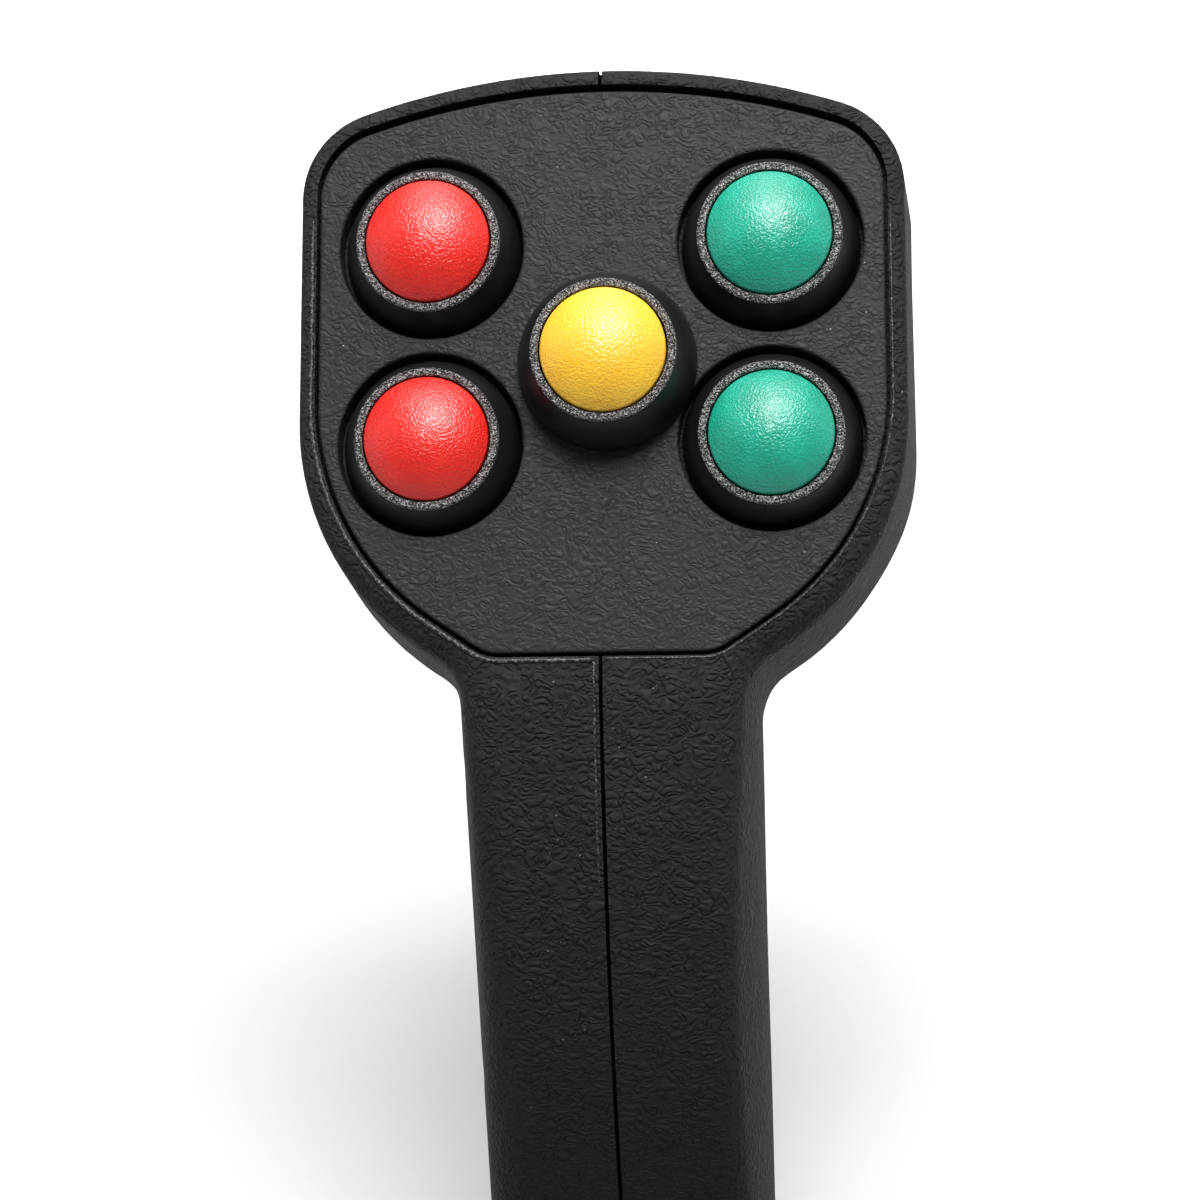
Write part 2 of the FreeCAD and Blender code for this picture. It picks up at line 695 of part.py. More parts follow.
def bush_corners(bore):
    """Corners of the mounting bush about its axis, with a waist that holds it."""
    return [
        (bore, "0"), ("Dims.bush_radius", "0"), ("Dims.bush_radius", "Dims.groove_low"),
        ("Dims.groove_radius", "Dims.groove_low"), ("Dims.groove_radius", "Dims.groove_high"),
        ("Dims.bush_radius", "Dims.groove_high"), ("Dims.bush_radius", "Dims.bush_height"),
        (bore, "Dims.bush_height"),
    ]


# ---------------------------------------------------------------- face plate

POSTS = [("0", "3.2"), ("0", "-28.5"), ("-29", "-12"), ("29", "-12")]


def make_face_plate():
    """Flush plate with four cups for the corner buttons and posts for the board."""
    body = new_body("plate_body")
    outline = body_sketch(body, "XY_Plane", "plate_outline")
    rounded_outline(outline, PLATE_OUTLINE)
    pad(body, outline, "plate_pad", "Dims.plate_thick", reverse=True)
    for index, (x, y, _) in enumerate(CORNER_PLACES):
        cup = body_sketch(body, "XY_Plane", f"cup{index}")
        circle(cup, x, y, "Dims.cup_radius + Dims.cup_wall")
        pad(body, cup, f"cup_pad{index}", "Dims.cup_depth + Dims.cup_floor", reverse=True)
    for index, (x, y) in enumerate(POSTS):
        post = body_sketch(body, "XY_Plane", f"post{index}")
        circle(post, x, y, "Dims.post_radius")
        pad(body, post, f"post_pad{index}", "Dims.board_depth", reverse=True)
    recess = body_sketch(body, "XY_Plane", "cup_recess")
    for x, y, _ in CORNER_PLACES:
        circle(recess, x, y, "Dims.cup_radius")
    pocket(body, recess, "cup_pocket", "Dims.cup_depth")
    holes = body_sketch(body, "XY_Plane", "button_holes")
    for x, y, _ in BUTTONS.values():
        circle(holes, x, y, "Dims.bush_outer + 0.05")
    pocket(body, holes, "button_pocket", "30")
    pilots = body_sketch(body, "XY_Plane", "post_pilots")
    pilots.AttachmentOffset = Placement(Vector(0, 0, -size("board_depth")), Rotation())
    for x, y in POSTS:
        circle(pilots, x, y, "Dims.board_screw")
    pocket(body, pilots, "pilot_pocket", "6", reverse=True)
    hole = number("Dims.bush_outer + 0.05")

    def on_front(edge):
        bore = isinstance(edge.Curve, Part.Circle) and abs(edge.Curve.Radius - hole) < 0.01
        return not bore and all(abs(point.z) < 1e-4 for point in edge_points(edge))

    round_edges(body, "plate_edge", "Dims.plate_round", on_front)
    body.Placement = on_face()
    name_node(body, "face_plate")


# ---------------------------------------------------------------- buttons

SKIRT = "(Dims.bezel_height + Dims.ring_thick + 0.1 - Dims.cap_skirt)"
ROOF = f"({SKIRT} + Dims.cap_roof)"


def make_button(name, place):
    """Bezel, ring, sprung cap, contact disc and switch of one button."""
    seat = on_face(*place)

    bezel = turned(f"{name}_bezel_body", [
        ("Dims.bush_bore", "-Dims.bush_length"), ("Dims.bush_outer", "-Dims.bush_length"),
        ("Dims.bush_outer", "0"), ("Dims.seal_radius - 0.55", "0"), ("Dims.seal_radius - 0.55", "0.9"),
        ("Dims.seal_radius + 0.55", "0.9"), ("Dims.seal_radius + 0.55", "0"), ("Dims.bezel_base", "0"),
        ("Dims.bezel_base", "Dims.bezel_land", "13"), ("Dims.ring_outer + 0.06", "Dims.bezel_height"),
        ("Dims.ring_inner", "Dims.bezel_height"), ("Dims.ring_inner", "Dims.shelf_height"),
        ("Dims.bush_bore", "Dims.shelf_height"),
    ])
    round_edges(bezel, f"{name}_bezel_foot", "0.2", ring_edge(size("bezel_base"), 0))

    high = "Dims.bezel_height + Dims.ring_thick"
    ring = turned(f"{name}_ring_body", [
        ("Dims.ring_inner", "Dims.bezel_height"), ("Dims.ring_outer", "Dims.bezel_height"),
        ("Dims.ring_outer", f"{high} - 0.2"), ("Dims.ring_outer - 0.2", high),
        ("Dims.ring_inner + 0.12", high), ("Dims.ring_inner", f"{high} - 0.12"),
    ])

    edge = f"({SKIRT} + Dims.cap_skirt)"
    crown = f"{edge} + Dims.dome_rise"
    dome = "(Dims.cap_radius * Dims.cap_radius + Dims.dome_rise * Dims.dome_rise) / (2 * Dims.dome_rise)"
    bottom = "-Dims.bush_length - Dims.disc_drop"
    cap = turned(f"{name}_cap_body", [
        ("0", bottom), ("Dims.pin_radius", bottom), ("Dims.pin_radius", ROOF),
        ("Dims.guide_radius - Dims.guide_wall", ROOF),
        ("Dims.guide_radius - Dims.guide_wall", "-Dims.guide_drop"),
        ("Dims.guide_radius", "-Dims.guide_drop"), ("Dims.guide_radius", SKIRT),
        ("Dims.cap_radius", SKIRT), ("Dims.cap_radius", edge, dome), ("0", crown),
    ])
    round_edges(cap, f"{name}_cap_edge", "0.5", ring_edge(size("cap_radius"), number(edge)))

    disc = turned(f"{name}_disc_body", [
        ("0", f"{bottom} - Dims.disc_thick"), ("Dims.disc_radius", f"{bottom} - Dims.disc_thick"),
        ("Dims.disc_radius", bottom), ("0", bottom),
    ])

    top, floor = "-Dims.bush_length", "-Dims.bush_length - Dims.block_length"
    block = turned(f"{name}_block_body", [
        ("0", floor), ("Dims.block_radius", floor), ("Dims.block_radius", top),
        ("Dims.pin_hole", top), ("Dims.pin_hole", f"{top} - Dims.block_wall"),
        ("Dims.block_radius - Dims.block_wall", f"{top} - Dims.block_wall"),
        ("Dims.block_radius - Dims.block_wall", f"{floor} + Dims.block_wall + 0.4"),
        ("0", f"{floor} + Dims.block_wall + 0.4"),
    ])
    leads = body_sketch(block, "XY_Plane", f"{name}_lead_holes")
    for side in ("-1", "1"):
        circle(leads, f"{side} * Dims.terminal_out", "0", "Dims.terminal_radius")
    leads.AttachmentOffset = Placement(Vector(0, 0, number(f"{floor} + 3")), Rotation())
    pocket(block, leads, f"{name}_lead_pocket", "5")

    pieces = {"bezel": bezel, "ring": ring, "cap": cap, "contact": disc, "switch": block}
    for label, piece in pieces.items():
        piece.Placement = seat
        name_node(piece, f"{name}_{label}")
    make_spring(name, seat)


def make_spring(name, seat):
    """Return spring round the pin, from the switch's lid to the cap's roof."""
    helix = document.addObject("Part::Helix", f"{name}_coil")
    helix.setExpression("Radius", "Dims.spring_mean")
    helix.setExpression("Height", f"{ROOF} + Dims.bush_length - Dims.spring_wire")
    helix.setExpression("Pitch", f"({ROOF} + Dims.bush_length - Dims.spring_wire) / Dims.spring_turns")
    section = document.addObject("Part::Circle", f"{name}_wire")
    section.setExpression("Radius", "Dims.spring_wire / 2")
    section.Placement = Placement(Vector(size("spring_mean"), 0, 0), Rotation(X_AXIS, 90))
    document.recompute()
    sweep = document.addObject("Part::Sweep", f"{name}_spring_sweep")
    sweep.Sections = [section]
    sweep.Spine = (helix, [f"Edge{index}" for index in range(1, len(helix.Shape.Edges) + 1)])
    sweep.Solid = True
    sweep.Frenet = True
    document.recompute()
    low = size("spring_wire") / 2 - size("bush_length")
    sweep.Placement = seat * Placement(Vector(0, 0, low), Rotation())
    name_node(sweep, f"{name}_spring")


def hexagon(radius):
    """Corners of a hexagon about the origin."""
    angles = [f"({60 * step} * 1 deg)" for step in range(6)]
    return [(f"{radius} * cos{angle}", f"{radius} * sin{angle}") for angle in angles]


def compound(label, pieces):
    """Several solids as one node."""
    feature = document.addObject("Part::Feature", label)
    feature.Shape = Part.makeCompound(pieces)
    name_node(feature, label)


def group(label, shape, places):
    """Identical pieces as one node, each a solid of its own."""
    pieces = []
    for place in places:
        piece = shape.copy()
        piece.Placement = place
        pieces.append(piece)
    compound(label, pieces)


def make_button_fasteners():
    """Nuts, seals and terminals that all five buttons share."""
    seats = [on_face(*place) for place in BUTTONS.values()]
    floors = [size("plate_thick") if place[2] == "0" else size("cup_floor") for place in BUTTONS.values()]

    nut = new_body("nut_body")
    outline = body_sketch(nut, "XY_Plane", "nut_outline")
    polygon(outline, hexagon("Dims.nut_radius"))
    pad(nut, outline, "nut_pad", "Dims.nut_thick")
    thread = body_sketch(nut, "XY_Plane", "nut_thread")
    circle(thread, "0", "0", "Dims.bush_outer")
    pocket(nut, thread, "nut_bore", "10", reverse=True)
    places = [seat * Placement(Vector(0, 0, -floor - size("nut_thick")), Rotation())
              for seat, floor in zip(seats, floors)]
    group("bezel_nuts", nut.Shape, places)

    seal = document.addObject("Part::Torus", "seal_ring")
    seal.setExpression("Radius1", "Dims.seal_radius")
    seal.setExpression("Radius2", "Dims.seal_wire / 2 - 0.06")
    document.recompute()
    lift = Placement(Vector(0, 0, size("seal_wire") / 2 - 0.05), Rotation())
    group("bezel_seals", seal.Shape, [seat * lift for seat in seats])

    pins = []
    for (x, y, z), seat in zip(BUTTONS.values(), seats):
        top = number(z) - size("terminal_top")
        end = -size("board_depth") - size("board_thick") - 0.8
        for side in (-1, 1):
            stalk = Part.makeCylinder(size("terminal_radius"), top - 0.5 - end)
            head = Part.makeCylinder(size("terminal_head"), 0.5, Vector(0, 0, top - 0.5 - end))
            piece = stalk.fuse(head).removeSplitter()
            spot = Vector(number(x) + side * size("terminal_out"), number(y), end)
            piece.Placement = face_frame() * Placement(spot, Rotation())
            pins.append(piece)
    compound("switch_terminals", pins)


# ---------------------------------------------------------------- circuit board

def make_board():
    board = new_body("board_body")
    outline = body_sketch(board, "XY_Plane", "board_outline")
    side, top, low, nose = "Dims.board_half", "Dims.board_top", "-Dims.board_bottom", "Dims.board_nose"
    polygon(outline, [(f"-{side}", f"-{nose}"), (f"-{nose}", low), (nose, low), (side, f"-{nose}"),
                      (side, top), (f"-{side}", top)])
    pad(board, outline, "board_pad", "Dims.board_thick", reverse=True)
    holes = body_sketch(board, "XY_Plane", "board_holes")
    for x, y in POSTS:
        circle(holes, x, y, "Dims.board_screw + 0.1")
    for x, y, _ in BUTTONS.values():
        for side in ("-", "+"):
            circle(holes, f"{x} {side} Dims.terminal_out", y, "Dims.terminal_radius")
    pocket(board, holes, "board_pocket", "10")
    board.Placement = on_face(z="-Dims.board_depth")
    name_node(board, "circuit_board")

    screw = turned("board_screw_body", [
        ("0", "0"), ("Dims.board_screw_head", "0"), ("Dims.board_screw_head", "1.3"),
        ("Dims.board_screw", "1.3"), ("Dims.board_screw", "Dims.board_screw_long"),
        ("0", "Dims.board_screw_long"),
    ])
    socket = body_sketch(screw, "XY_Plane", "board_screw_socket")
    polygon(socket, hexagon("0.9"))
    pocket(screw, socket, "board_screw_drive", "0.9", reverse=True)
    low = size("board_depth") + size("board_thick") + 1.3
    group("board_screws", screw.Shape, [on_face(x, y, f"-{low}") for x, y in POSTS])

    block_on_board("board_header", (0, -33.6), (13, 3.6, 6), 1)
    block_on_board("controller_chip", (-11, -17), (7, 7, 1.2), -1)
    pads = []
    for x, y in ((6, -17), (9, -17), (12, -17), (6, -21), (9, -21), (12, -21), (-3, -20), (-3, -16)):
        pads.append(part_on_board((x, y), (1.2, 2.2, 0.7), -1))
    compound("board_resistors", pads)


def board_place(middle, sizes, side):
    """Placement of a box on the board's front (side 1) or back (side -1)."""
    length, width, height = sizes
    front = -size("board_depth")
    depth = front if side > 0 else front - size("board_thick") - height
    corner = Vector(middle[0] - length / 2, middle[1] - width / 2, depth)
    return face_frame() * Placement(corner, Rotation())


def part_on_board(middle, sizes, side):
    box = Part.makeBox(*sizes)
    box.Placement = board_place(middle, sizes, side)
    return box


def block_on_board(label, middle, sizes, side):
    """Larger component with its outer edges chamfered."""
    box = document.addObject("Part::Box", f"{label}_box")
    box.Length, box.Width, box.Height = sizes
    box.Placement = board_place(middle, sizes, side)
    chamfer = document.addObject("Part::Chamfer", f"{label}_chamfer")
    chamfer.Base = box
    chamfer.Edges = [(index, 0.2, 0.2) for index in (2, 4, 6, 8)]
    document.recompute()
    name_node(chamfer, label)


# ---------------------------------------------------------------- handle fittings

def make_bush():
    bush = turned("bush_body", bush_corners("Dims.bore_radius"))
    hole = body_sketch(bush, "XZ_Plane", "set_screw_hole")
    circle(hole, "0", "Dims.set_screw_height", "Dims.set_screw_radius")
    pocket(bush, hole, "set_screw_pocket", "20")
    name_node(bush, "mounting_bush")

    screw = turned("set_screw_body", [
        ("0", "0"), ("Dims.set_screw_radius - 0.4", "0"), ("Dims.set_screw_radius", "0.4"),
        ("Dims.set_screw_radius", "Dims.set_screw_long"), ("0", "Dims.set_screw_long"),
    ])
    socket = body_sketch(screw, "XY_Plane", "set_screw_socket")
    socket.AttachmentOffset = Placement(Vector(0, 0, size("set_screw_long")), Rotation())
    polygon(socket, hexagon("1.15"))
    pocket(screw, socket, "set_screw_drive", "2.2")
    screw.Placement = Placement(Vector(0, size("bore_radius") + 0.4, size("set_screw_height")), ALONG_Y)
    name_node(screw, "clamp_screw")


def make_housing_screws():
    """Self-tapping screws that draw the right shell to the left one."""
    screw = turned("housing_screw_body", [
        ("0", "-Dims.screw_head_thick"), ("Dims.screw_head", "-Dims.screw_head_thick"),
        ("Dims.screw_head", "0"), ("Dims.screw_radius", "0"),
        ("Dims.screw_radius", "Dims.screw_long - 1"), ("0.5", "Dims.screw_long"), ("0", "Dims.screw_long"),
    ])
    socket = body_sketch(screw, "XY_Plane", "housing_screw_socket")
    socket.AttachmentOffset = Placement(Vector(0, 0, -size("screw_head_thick")), Rotation())
    polygon(socket, hexagon("1.3"))
    pocket(screw, socket, "housing_screw_drive", "1.3", reverse=True)
    places = [Placement(Vector(-size("screw_seat"), back, height), ALONG_X)
              for back, height in screw_places()]
    group("housing_screws", screw.Shape, places)


WIRES = 6


def make_loom():
    """Six wires side by side, from the board's header down to the plug."""
    start = face_frame().multVec(Vector(0, -35.4, -22.6))
    knee = start + face_frame().Rotation.multVec(Vector(0, -24, 0))
    end = Vector(0, -6, 58)
    radius = bend_radius(start, knee, end)
    print("loom bend radius", round(radius, 1))
    pieces = []
    for index in range(WIRES):
        shift = Vector((index - (WIRES - 1) / 2) * size("wire_pitch"), 0, 0)
        spine = Part.Wire(rounded_path(start + shift, knee + shift, end + shift, radius))
        section = Part.Wire(Part.makeCircle(size("wire_radius"), start + shift, knee - start))
        pipe = spine.makePipeShell([section], True, True)
        pieces.append(pipe)
        length = sum(edge.Length for edge in spine.Edges)
        wanted = math.pi * size("wire_radius") ** 2 * length
        assert abs(pipe.Volume / wanted - 1) < 0.01, "a wire is not whole"
    compound("wire_loom", pieces)

    plug = new_body("plug_body")
    outline = body_sketch(plug, "XY_Plane", "plug_outline")
    polygon(outline, [("-6.5", "-3.4"), ("6.5", "-3.4"), ("6.5", "3.4"), ("2", "3.4"), ("2", "4.4"),
                      ("-2", "4.4"), ("-2", "3.4"), ("-6.5", "3.4")])
    pad(plug, outline, "plug_pad", "12")
    sockets = body_sketch(plug, "XY_Plane", "plug_sockets")
    for index in range(WIRES):
        circle(sockets, f"{index - (WIRES - 1) / 2} * Dims.wire_pitch", "0", "0.6")
    pocket(plug, sockets, "plug_pocket", "6", reverse=True)
    plug.Placement = Placement(end - Vector(0, 0, 12.12), Rotation())
    name_node(plug, "loom_plug")


def bend_radius(start, knee, end):
    """Largest arc that the shorter of the two runs allows."""
    before, after = knee - start, end - knee
    turn = before.getAngle(after)
    return 0.45 * min(before.Length, after.Length) / math.tan(turn / 2)


def rounded_path(start, knee, end, radius):
    before, after = (knee - start).normalize(), (end - knee).normalize()
    turn = before.getAngle(after)
    reach = radius * math.tan(turn / 2)
    first, last = knee - before * reach, knee + after * reach
    inward = (after - before).normalize()
    middle = knee + inward * (radius / math.cos(turn / 2) - radius)
    return [Part.LineSegment(start, first).toShape(), Part.Arc(first, middle, last).toShape(),
            Part.LineSegment(last, end).toShape()]


# ---------------------------------------------------------------- build and write

def check_document():
    """Stop before writing if anything in the document has failed."""
    for thing in document.Objects:
        failed = {"Invalid", "Error"} & set(thing.State)
        assert not failed, f"{thing.Name} failed: {thing.State}"
    for label, thing in nodes.items():
        assert not thing.Shape.isNull(), f"{label} is empty"
        assert thing.Shape.isValid(), f"{label} is not valid"


make_face_plate()
for button_name, button_place in BUTTONS.items():
    make_button(button_name, button_place)
make_button_fasteners()
make_board()
make_bush()
make_housing_screws()
make_loom()
make_shells()
check_document()
os.makedirs("parts", exist_ok=True)
for label, thing in nodes.items():
    thing.Shape.exportStep(f"parts/{label}.step")
print(len(nodes), "sub-parts written")
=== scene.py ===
import math

import bpy
from mathutils import Matrix, Vector
from mathutils.bvhtree import BVHTree
from mathutils.geometry import convex_hull_2d


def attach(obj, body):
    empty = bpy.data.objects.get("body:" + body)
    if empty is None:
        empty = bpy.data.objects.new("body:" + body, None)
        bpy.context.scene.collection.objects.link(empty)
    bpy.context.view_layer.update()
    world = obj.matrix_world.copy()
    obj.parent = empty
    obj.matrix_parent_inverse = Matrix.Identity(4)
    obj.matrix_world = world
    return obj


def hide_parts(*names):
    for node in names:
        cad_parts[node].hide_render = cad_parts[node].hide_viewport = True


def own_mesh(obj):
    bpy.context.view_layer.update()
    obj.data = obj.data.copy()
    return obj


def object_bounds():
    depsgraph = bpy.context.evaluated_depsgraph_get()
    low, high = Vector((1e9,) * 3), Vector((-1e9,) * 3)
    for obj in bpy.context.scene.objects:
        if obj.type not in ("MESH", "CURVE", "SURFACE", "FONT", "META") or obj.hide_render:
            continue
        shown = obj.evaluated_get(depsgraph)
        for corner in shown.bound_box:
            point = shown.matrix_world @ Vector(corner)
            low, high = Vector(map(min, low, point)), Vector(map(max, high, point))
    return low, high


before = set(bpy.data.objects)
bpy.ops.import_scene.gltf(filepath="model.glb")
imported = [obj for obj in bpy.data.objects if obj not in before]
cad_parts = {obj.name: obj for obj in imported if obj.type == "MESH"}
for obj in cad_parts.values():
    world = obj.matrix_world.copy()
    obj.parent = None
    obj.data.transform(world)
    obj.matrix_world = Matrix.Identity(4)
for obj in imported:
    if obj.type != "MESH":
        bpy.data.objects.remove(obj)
cad_low, cad_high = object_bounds()

# Sizes are in millimetres, and times MM they are in metres.
MM = 0.001
BUTTONS = ("red_upper", "red_lower", "yellow_centre", "green_upper", "green_lower")
SHELLS = ("left_housing", "right_housing")

# The face plate's plane, how close to it its flat front's points lie, how far
# its middle is below the plane's origin, its rounded edge and the gap round it.
PLATE_LEAN = math.radians(28)
PLATE_ORIGIN = Vector((0, 6.3, 141.6)) * MM
PLATE_UP = Vector((0, math.sin(PLATE_LEAN), math.cos(PLATE_LEAN)))
PLATE_OUT = Vector((0, -math.cos(PLATE_LEAN), math.sin(PLATE_LEAN)))
PLATE_FLAT = 0.02
PLATE_MIDDLE = 15
PLATE_ROUND = 0.35
PLATE_GAP = 0.45

# The raised lips: their clearance from the plate's gap and from the parting line,
# steps along them, the height in the plate's plane where the plate's lip ends,
# the seam lip's length, and the number of rings in which a free end fades out.
LIP_CLEAR = 0.05
SEAM_CLEAR = 0.7
LIP_STEP = 0.8
SEAM_LIP_STEP = 1.5
LIP_TOP = 4
SEAM_LIP_LENGTH = 28
LIP_FADE = 6

# The shells' skin: the radius of rounded edges and their painted highlight, the half
# widths where the parting line's painted shade starts to fade and ends, and the
# height where the painted shade towards the foot ends.
EDGE_BEVEL = 0.35
SEAM_DARK, SEAM_EDGE = 0.20, 0.28
FOOT_SHADE = 100

# The loom's leads, from one side to the other.
LEAD_PITCH = 1.8
LEAD_COLOURS = ((0.5, 0.02, 0.02), (0.02, 0.02, 0.02), (0.7, 0.5, 0.04),
                (0.03, 0.3, 0.08), (0.03, 0.08, 0.4), (0.6, 0.6, 0.58))


# ---------------------------------------------------------------- helpers

class Graph:
    """A material's node tree, built by short calls that return sockets."""

    def __init__(self, name):
        self.material = bpy.data.materials.new(name)
        self.material.use_nodes = True
        self.tree = self.material.node_tree
        self.tree.nodes.clear()
        self.output = self.add("ShaderNodeOutputMaterial")
        self.shader = self.add("ShaderNodeBsdfPrincipled")
        self.join(self.shader.outputs["BSDF"], self.output.inputs["Surface"])
        self.place = self.add("ShaderNodeTexCoord").outputs["Object"]

    def add(self, kind, **settings):
        node = self.tree.nodes.new(kind)
        for key, value in settings.items():
            setattr(node, key, value)
        return node

    def join(self, source, target):
        self.tree.links.new(source, target)

    def put(self, value, target):
        """Join a socket to the target, or set a plain value on it."""
        if isinstance(value, bpy.types.NodeSocket):
            self.join(value, target)
        else:
            target.default_value = value

    def scaled(self, *sizes):
        """Coordinates in units of one size in millimetres, or of three for x, y and z."""
        node = self.add("ShaderNodeVectorMath", operation="MULTIPLY")
        self.join(self.place, node.inputs[0])
        stretch = sizes if len(sizes) == 3 else sizes * 3
        node.inputs[1].default_value = [1 / (MM * size) for size in stretch]
        return node.outputs[0]

    def axes(self, place):
        """The x, y and z of some coordinates."""
        node = self.add("ShaderNodeSeparateXYZ")
        self.join(place, node.inputs[0])
        return tuple(node.outputs)

    def shifted(self, place, source, amount):
        """Coordinates pushed about by a noise colour."""
        centred = self.add("ShaderNodeVectorMath", operation="SUBTRACT")
        self.join(source, centred.inputs[0])
        centred.inputs[1].default_value = (0.5, 0.5, 0.5)
        grown = self.add("ShaderNodeVectorMath", operation="SCALE")
        self.join(centred.outputs[0], grown.inputs[0])
        grown.inputs["Scale"].default_value = amount
        total = self.add("ShaderNodeVectorMath", operation="ADD")
        self.join(place, total.inputs[0])
        self.join(grown.outputs[0], total.inputs[1])
        return total.outputs[0]

    def noise(self, place, detail=2.0, rough=0.5):
        """A noise's value from 0 to 1, and its colour."""
        node = self.add("ShaderNodeTexNoise")
        self.join(place, node.inputs["Vector"])
        node.inputs["Scale"].default_value = 1.0
        node.inputs["Detail"].default_value = detail
        node.inputs["Roughness"].default_value = rough
        return node.outputs["Fac"], node.outputs["Color"]

    def cells(self, place, feature="F1"):
        """Distance in a pattern of random cells."""
        node = self.add("ShaderNodeTexVoronoi", feature=feature)
        self.join(place, node.inputs["Vector"])
        node.inputs["Scale"].default_value = 1.0
        return node.outputs["Distance"]

    def ramp(self, value, low, high, start=0.0, end=1.0):
        """A smooth step from start to end as the value goes from low to high."""
        node = self.add("ShaderNodeMapRange")
        node.interpolation_type = "SMOOTHSTEP"
        self.put(value, node.inputs["Value"])
        node.inputs["From Min"].default_value = low
        node.inputs["From Max"].default_value = high
        node.inputs["To Min"].default_value = start
        node.inputs["To Max"].default_value = end
        return node.outputs["Result"]

    def maths(self, operation, first, second=0.0):
        node = self.add("ShaderNodeMath", operation=operation)
        self.put(first, node.inputs[0])
        self.put(second, node.inputs[1])
        return node.outputs[0]

    def blend(self, share, first, second):
        """Mix of two colours by a share from 0 to 1."""
        node = self.add("ShaderNodeMix", data_type="RGBA")
        self.put(share, node.inputs["Factor"])
        self.put(first, node.inputs[6])
        self.put(second, node.inputs[7])
        return node.outputs[2]

    def bump(self, height, depth, normal=None):
        """Bump of a height from 0 to 1 and a depth in millimetres."""
        node = self.add("ShaderNodeBump")
        node.inputs["Strength"].default_value = 1.0
        node.inputs["Distance"].default_value = depth * MM
        self.join(height, node.inputs["Height"])
        if normal is not None:
            self.join(normal, node.inputs["Normal"])
        return node.outputs["Normal"]

    def finish(self, **inputs):
        """Set the shader's inputs, with _ for each space in their names."""
        for key, value in inputs.items():
            self.put(value, self.shader.inputs[key.replace("_", " ")])
        return self.material


def grey(value):
    """A very slightly warm grey."""
    return (value, value, value * 0.985, 1.0)


def add_object(name, data):
    """A new object in the scene's own collection."""
    thing = bpy.data.objects.new(name, data)
    bpy.context.scene.collection.objects.link(thing)
    return thing


# ---------------------------------------------------------------- materials

def leather(name, cell, depth, base, rough, patchy, shine_level, seam=False):
    """Moulded leather grain: soft pillows between worm-like creases.

    The cell and depth are in millimetres. With seam, the parting line's groove gets
    nearly black painted shade and the skin gets painted shade towards the foot.
    """
    g = Graph(name)
    wander = g.noise(g.scaled(3), detail=1)[1]
    wide = g.shifted(g.scaled(cell * 1.25, cell, cell * 0.85), wander, 1.8)
    first = g.noise(wide, detail=0.6, rough=0.4)[0]
    narrow = g.shifted(g.scaled(cell * 0.8, cell * 0.8, cell * 0.65), wander, 1.4)
    second = g.noise(narrow, detail=0)[0]
    near = g.maths("MINIMUM", g.maths("ABSOLUTE", g.maths("SUBTRACT", first, 0.5)),
                   g.maths("ABSOLUTE", g.maths("SUBTRACT", second, 0.44)))
    pillow = g.ramp(near, -0.02, 0.17)
    worn = g.noise(g.scaled(6), detail=2)[0]
    deep = g.ramp(worn, 0.32, 0.6, 1.0 - patchy, 1.0)
    height = g.maths("MULTIPLY", g.maths("ADD", pillow, g.maths("MULTIPLY", first, 0.4)), deep)
    edge = g.add("ShaderNodeBevel", samples=4)
    edge.inputs["Radius"].default_value = EDGE_BEVEL * MM
    normal = g.bump(height, depth, edge.outputs["Normal"])
    grain = g.noise(g.scaled(0.16), detail=2, rough=0.6)[0]
    normal = g.bump(grain, 0.008, normal)
    tone = g.blend(g.ramp(worn, 0.35, 0.7), grey(base), grey(base * 1.15))
    dust = g.ramp(g.cells(g.scaled(3.2)), 0.025, 0.04, 1.0, 0.0)
    tone = g.blend(dust, tone, grey(0.25))
    # Painted highlight: a lighter grey along rounded edges, where they would catch the light.
    facing = g.add("ShaderNodeVectorMath", operation="DOT_PRODUCT")
    g.join(edge.outputs["Normal"], facing.inputs[0])
    g.join(g.add("ShaderNodeNewGeometry").outputs["Normal"], facing.inputs[1])
    painted_edge_glint = g.ramp(facing.outputs["Value"], 0.82, 0.97, 0.8, 0.0)
    tone = g.blend(painted_edge_glint, tone, grey(0.06))
    shine = g.ramp(grain, 0.3, 0.7, rough - 0.04, rough + 0.05)
    if seam:
        across, _, rise = g.axes(g.place)
        # Painted shade: the skin darkens towards the foot, away from the light above.
        tone = g.blend(g.ramp(rise, 0.0, FOOT_SHADE * MM), grey(base * 0.55), tone)
        # Painted shade: the groove of the parting line is tinted nearly black.
        away = g.ramp(g.maths("ABSOLUTE", across), SEAM_DARK * MM, SEAM_EDGE * MM)
        tone = g.blend(away, grey(0.0008), tone)
        gloss = g.maths("MULTIPLY", away, g.maths("SUBTRACT", 1.0, shine))
        shine = g.maths("SUBTRACT", 1.0, gloss)
    return g.finish(Base_Color=tone, Roughness=shine, Normal=normal, Specular_IOR_Level=shine_level)


def moulded(name, base, rough, grain=0.006):
    """Smooth moulded plastic with faint texture and handling marks."""
    g = Graph(name)
    fine = g.noise(g.scaled(0.22), detail=3, rough=0.6)[0]
    wave = g.noise(g.scaled(5), detail=2)[0]
    normal = g.bump(wave, 0.02, g.bump(fine, grain))
    tone = g.blend(g.ramp(wave, 0.3, 0.7), [c * 0.85 for c in base[:3]] + [1], list(base[:3]) + [1])
    shine = g.ramp(fine, 0.3, 0.7, rough - 0.05, rough + 0.06)
    return g.finish(Base_Color=tone, Roughness=shine, Normal=normal)


